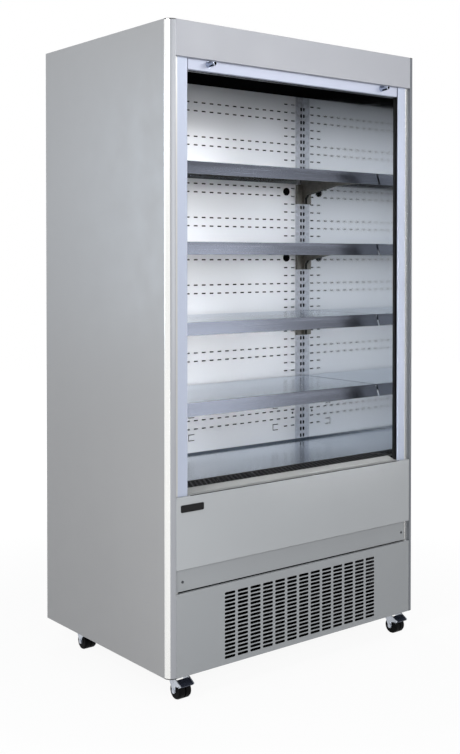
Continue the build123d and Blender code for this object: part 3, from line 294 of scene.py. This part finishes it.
def dress_profiles():
    """Painted highlight on the left round's outer side and on the right flange, painted shade on the rest of
    both rounds.
    """
    outward, flat_front = -0.62, -0.99
    left_round, right_round = -0.4765, 0.4755
    flange_start, flange_end = 0.463, 0.4762
    dress("anodised", "corner_profiles")
    dress_faces("profile_painted_highlight", "corner_profiles",
                lambda normal, middle: normal.x < outward and middle[0] < left_round)
    dress_faces("profile_painted_shade", "corner_profiles",
                lambda normal, middle: normal.x > outward and middle[0] < left_round)
    dress_faces("profile_painted_highlight", "corner_profiles",
                lambda normal, middle: normal.y < flat_front and flange_start < middle[0] < flange_end)
    dress_faces("profile_dark_painted_shade", "corner_profiles", lambda normal, middle: middle[0] > right_round)
    dress("black_plastic", "profile_end_caps")


def dress_mouth():
    dress("post_aluminium", "front_posts")
    dress("bar_aluminium", "blind_bar")
    dress("galvanised", "blind_roller")
    dress("black_plastic", "air_honeycomb", "blind_guides")
    dress("black_metal", "canopy_ceiling")
    dress("mesh_black", "return_air_grille")


def dress_ledge():
    """Steel, with painted shadow lines: a black front lip and a black groove behind it."""
    lip_depth = 0.001
    groove_start, groove_end = 0.0215, 0.0242
    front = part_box("front_ledge")[0][1]
    dress("ledge_steel", "front_ledge")
    dress_faces("black_and_painted_shade", "front_ledge",
                lambda normal, middle: normal.y < -STRAIGHT and middle[1] < front + lip_depth)
    dress_faces("black_and_painted_shade", "front_ledge",
                lambda normal, middle: normal.z > STRAIGHT and groove_start < middle[1] - front < groove_end)


def dress_knobs():
    """Chrome, with painted shade: the hole in each tip is black."""
    hole_depth, hole_radius = 0.0071, 0.0046
    (_, front, low), (right, _, high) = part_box("blind_knobs")
    axis_x = right - (high - low) / 2
    axis_z = (high + low) / 2

    def in_hole(normal, middle):
        off_axis = math.hypot(abs(middle[0]) - axis_x, middle[2] - axis_z)
        return middle[1] < front + hole_depth and off_axis < hole_radius

    dress("bright_chrome", "blind_knobs")
    dress_faces("black_and_painted_shade", "blind_knobs", in_hole)


def dress_cold_space():
    dress("polished_stainless", "side_liners")
    dress("rear_steel", "rear_panels")
    dress("black_and_painted_shade", "cable_grommets")
    dress("bracket_zinc", "shelf_brackets")


def dress_deck_tray():
    """Steel, with painted shade: the front of its upstand is a dark line at the foot of the rear wall."""
    upstand_front, deck_top = 0.17, 0.5772

    def on_upstand(normal, middle):
        return normal.y < -STRAIGHT and middle[1] > upstand_front and middle[2] > deck_top

    dress("stainless", "deck_tray")
    dress_faces("painted_shade_grey", "deck_tray", on_upstand)


def dress_shelves():
    for number in SHELF_NUMBERS:
        dress("rail_aluminium", f"price_rail_{number}")
        dress("stainless", f"shelf_deck_{number}")
        # The underside of each deck wears painted shade
        dress_faces("shelf_underside_painted_shade", f"shelf_deck_{number}", lambda normal, middle: normal.z < -STRAIGHT)


def dress_uprights():
    """Zinc, with painted shade: black inside the channel and in the slots."""
    margin, clear_width = 0.001, 0.0325
    low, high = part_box("shelf_uprights")
    sheet_back = low[1] + margin
    outer = high[0] - margin
    inner = outer - clear_width
    dress("upright_zinc", "shelf_uprights")
    dress_faces("black_and_painted_shade", "shelf_uprights",
                lambda normal, middle: middle[1] > sheet_back and inner < abs(middle[0]) < outer)


def dress_machine_space():
    # The base pan and condenser coil are black, a painted shade behind the grille's slots; the tub is black
    # too
    dress("black_and_painted_shade", "base_pan", "condenser_coil", "insulated_tub")
    dress("galvanised", "condenser_fan_shroud", "evaporator_fan_plate")
    dress("coil_fins", "evaporator_coil")
    dress("copper_tube", "refrigerant_lines")
    dress("compressor_paint", "compressor")
    dress("fan_plastic", "condenser_fan", "evaporator_fan_left", "evaporator_fan_right")
    dress("controller_grey", "controller")


def dress_casters():
    dress("galvanised", "caster_plates")
    dress("pedal_steel", "brake_pedal_front_left", "brake_pedal_front_right")
    for place in CASTER_PLACES:
        dress("fork_steel", f"caster_fork_{place}")
        dress("wheel_rubber", f"caster_wheel_{place}")


dress_panels()
dress_back_panel()
dress_grille_panel()
dress_profiles()
dress_mouth()
dress_ledge()
dress_knobs()
dress_cold_space()
dress_deck_tray()
dress_shelves()
dress_uprights()
dress_machine_space()
dress_casters()


# ---------------------------------------------------------------- night blind's cloth

ROLLER_Y, ROLLER_Z = -0.2975, 1.832
ROLL_INNER, ROLL_OUTER = 0.0166, 0.0217
ROLL_TURNS = 10.3
STEPS_A_TURN = 48
CLOTH_HALF = 0.42
CLOTH_THICKNESS = 0.0004
HANGING_ROWS = 90
BAR_TOP = 1.811
BAR_LAP = 0.001  # how far the cloth reaches into the bar


def new_object(name, points, faces, material):
    mesh = bpy.data.meshes.new(name)
    mesh.from_pydata(points, [], faces)
    mesh.update()
    mesh.materials.append(material)
    made = bpy.data.objects.new(name, mesh)
    bpy.context.scene.collection.objects.link(made)
    return made


def cloth_line():
    """The cloth from the side, as y and z: wound on its tube, off its front, and down into the bar."""
    line = []
    steps = int(ROLL_TURNS * STEPS_A_TURN)
    for step in range(steps, 0, -1):
        share = step / steps
        angle = 2 * math.pi * ROLL_TURNS * share
        radius = ROLL_OUTER + (ROLL_INNER - ROLL_OUTER) * share
        line.append((ROLLER_Y - radius * math.cos(angle), ROLLER_Z + radius * math.sin(angle)))
    drop = ROLLER_Z - BAR_TOP + BAR_LAP
    for row in range(HANGING_ROWS + 1):
        line.append((ROLLER_Y - ROLL_OUTER, ROLLER_Z - drop * row / HANGING_ROWS))
    return line


def hang_cloth():
    line = cloth_line()
    points = [(side * CLOTH_HALF, y, z) for y, z in line for side in (-1, 1)]
    faces = [(2 * row, 2 * row + 1, 2 * row + 3, 2 * row + 2) for row in range(len(line) - 1)]
    cloth = new_object("blind_cloth", points, faces, looks["blind_cloth"].material)
    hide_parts("blind_fabric")
    for face in cloth.data.polygons:
        face.use_smooth = True
    thick = cloth.modifiers.new("thickness", "SOLIDIFY")
    thick.thickness = CLOTH_THICKNESS
    thick.offset = 0
    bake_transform(cloth)


hang_cloth()


# ---------------------------------------------------------------- camera

CAMERA_PLACE = (-2.2389, -2.7921, 1.2427)
CAMERA_TURN = -38.50  # degrees about z, from looking along +y
CAMERA_DIP = 1.033  # degrees below level
LENS, SENSOR_WIDTH = 52.06, 36  # millimetres
SHIFT_UP = -0.1308  # share of the sensor's width


def put_camera():
    data = bpy.data.cameras.new("photo_camera")
    data.sensor_width = SENSOR_WIDTH
    data.lens = LENS
    data.shift_y = SHIFT_UP
    camera = bpy.data.objects.new("photo_camera", data)
    camera.location = CAMERA_PLACE
    camera.rotation_euler = (math.radians(90 - CAMERA_DIP), 0, math.radians(CAMERA_TURN))
    bpy.context.scene.collection.objects.link(camera)
    bpy.context.scene.camera = camera
    bpy.context.scene.view_settings.view_transform = "Standard"


put_camera()


# ---------------------------------------------------------------- light

COOL = (0.7, 0.84, 1.0)
AMBIENT_COLOUR, AMBIENT_STRENGTH = (0.93, 0.96, 1.0, 1.0), 0.1
WHITE = (1, 1, 1, 1)


def softbox(name, location, target, size, power, colour=(1, 1, 1), mirrored=True, spread=180):
    """A rectangular lamp, with its size in metres, its power in watts and its spread in degrees."""
    data = bpy.data.lights.new(name, "AREA")
    data.shape = "RECTANGLE"
    data.size, data.size_y = size
    data.energy = power
    data.color = colour
    data.spread = math.radians(spread)
    lamp = bpy.data.objects.new(name, data)
    lamp.location = location
    lamp.rotation_euler = (Vector(target) - Vector(location)).to_track_quat("-Z", "Y").to_euler()
    lamp.visible_camera = False
    lamp.visible_glossy = mirrored
    bpy.context.scene.collection.objects.link(lamp)


softbox("key_light", (-0.3, -3.4, 2.1), (0, -0.2, 1.35), (2.0, 1.4), 44, mirrored=False)
softbox("fill_light", (-0.2, -4.2, 1.6), (0, -0.2, 1.2), (3.6, 2.2), 40)
softbox("mouth_light", (0.2, -2.2, 1.15), (0.14, 0.18, 1.15), (0.62, 1.0), 1.5, mirrored=False, spread=16)
softbox("side_light", (-3.0, -0.9, 2.8), (-0.5, -0.1, 1.9), (0.7, 1.3), 60)
softbox("low_light", (-1.5, -1.3, 0.5), (-0.5, -0.3, 0.4), (0.4, 0.6), 10, mirrored=False)
softbox("rim_light", (-2.9, 2.7, 1.6), (-0.5, -0.2, 1.4), (0.6, 1.6), 20, COOL)
softbox("back_light", (0.9, 3.2, 2.3), (0, 0.3, 1.0), (1.6, 1.2), 50, mirrored=False)
softbox("right_light", (3.2, 0.3, 2.2), (0.5, 0, 1.0), (1.2, 1.2), 42, mirrored=False)
softbox("rail_light", (2.4, -3.6, 3.0), (0, -0.2, 1.1), (1.3, 1.6), 34)


def set_world():
    """White where it is seen or mirrored, and a faint cool light from all round for the rest."""
    world = bpy.data.worlds.new("studio")
    bpy.context.scene.world = world
    sky = Tree(world)
    sky.tree.nodes.clear()
    ambient = sky.add("ShaderNodeBackground", inputs={"Color": AMBIENT_COLOUR, "Strength": AMBIENT_STRENGTH})
    white = sky.add("ShaderNodeBackground", inputs={"Color": WHITE, "Strength": 1.0})
    inputs = {0: sky.seen_or_mirrored(), 1: ambient.outputs[0], 2: white.outputs[0]}
    mix = sky.add("ShaderNodeMixShader", inputs=inputs)
    sky.add("ShaderNodeOutputWorld", inputs={"Surface": mix.outputs[0]})


set_world()


# ---------------------------------------------------------------- floor

FLOOR_HALF = 8.0
FLOOR_SHADE = (0.4, 0.4, 0.4, 1)
FLOOR_GLOW = 1.06
# Up to NEAR from its middle the floor's glow has the near share, and beyond FAR the far share
NEAR, FAR = 0.7, 3.0
NEAR_SHARE, FAR_SHARE = 0.88, 1.0


def floor_material():
    """A pale floor that turns into the white background, and keeps the fridge's shadow near it."""
    material = bpy.data.materials.new("floor")
    ground = Tree(material)
    ground.tree.nodes.clear()
    place = ground.add("ShaderNodeTexCoord").outputs["Object"]
    distance = ground.add("ShaderNodeVectorMath", {"operation": "LENGTH"}, {0: place}).outputs["Value"]
    ends = {"From Min": NEAR, "From Max": FAR, "To Min": NEAR_SHARE, "To Max": FAR_SHARE}
    smooth = {"interpolation_type": "SMOOTHSTEP"}
    rise = ground.add("ShaderNodeMapRange", smooth, {"Value": distance, **ends}).outputs["Result"]
    inputs = {0: ground.seen_or_mirrored(), 1: rise}
    share = ground.add("ShaderNodeMath", {"operation": "MULTIPLY"}, inputs).outputs[0]
    paint = ground.add("ShaderNodeBsdfDiffuse", inputs={"Color": FLOOR_SHADE})
    glow = ground.add("ShaderNodeEmission", inputs={"Color": WHITE, "Strength": FLOOR_GLOW})
    mix = ground.add("ShaderNodeMixShader", inputs={0: share, 1: paint.outputs[0], 2: glow.outputs[0]})
    ground.add("ShaderNodeOutputMaterial", inputs={"Surface": mix.outputs[0]})
    return material


def put_floor():
    signs = ((-1, -1), (1, -1), (1, 1), (-1, 1))
    points = [(x * FLOOR_HALF, y * FLOOR_HALF, 0) for x, y in signs]
    new_object("floor", points, [(0, 1, 2, 3)], floor_material())


put_floor()
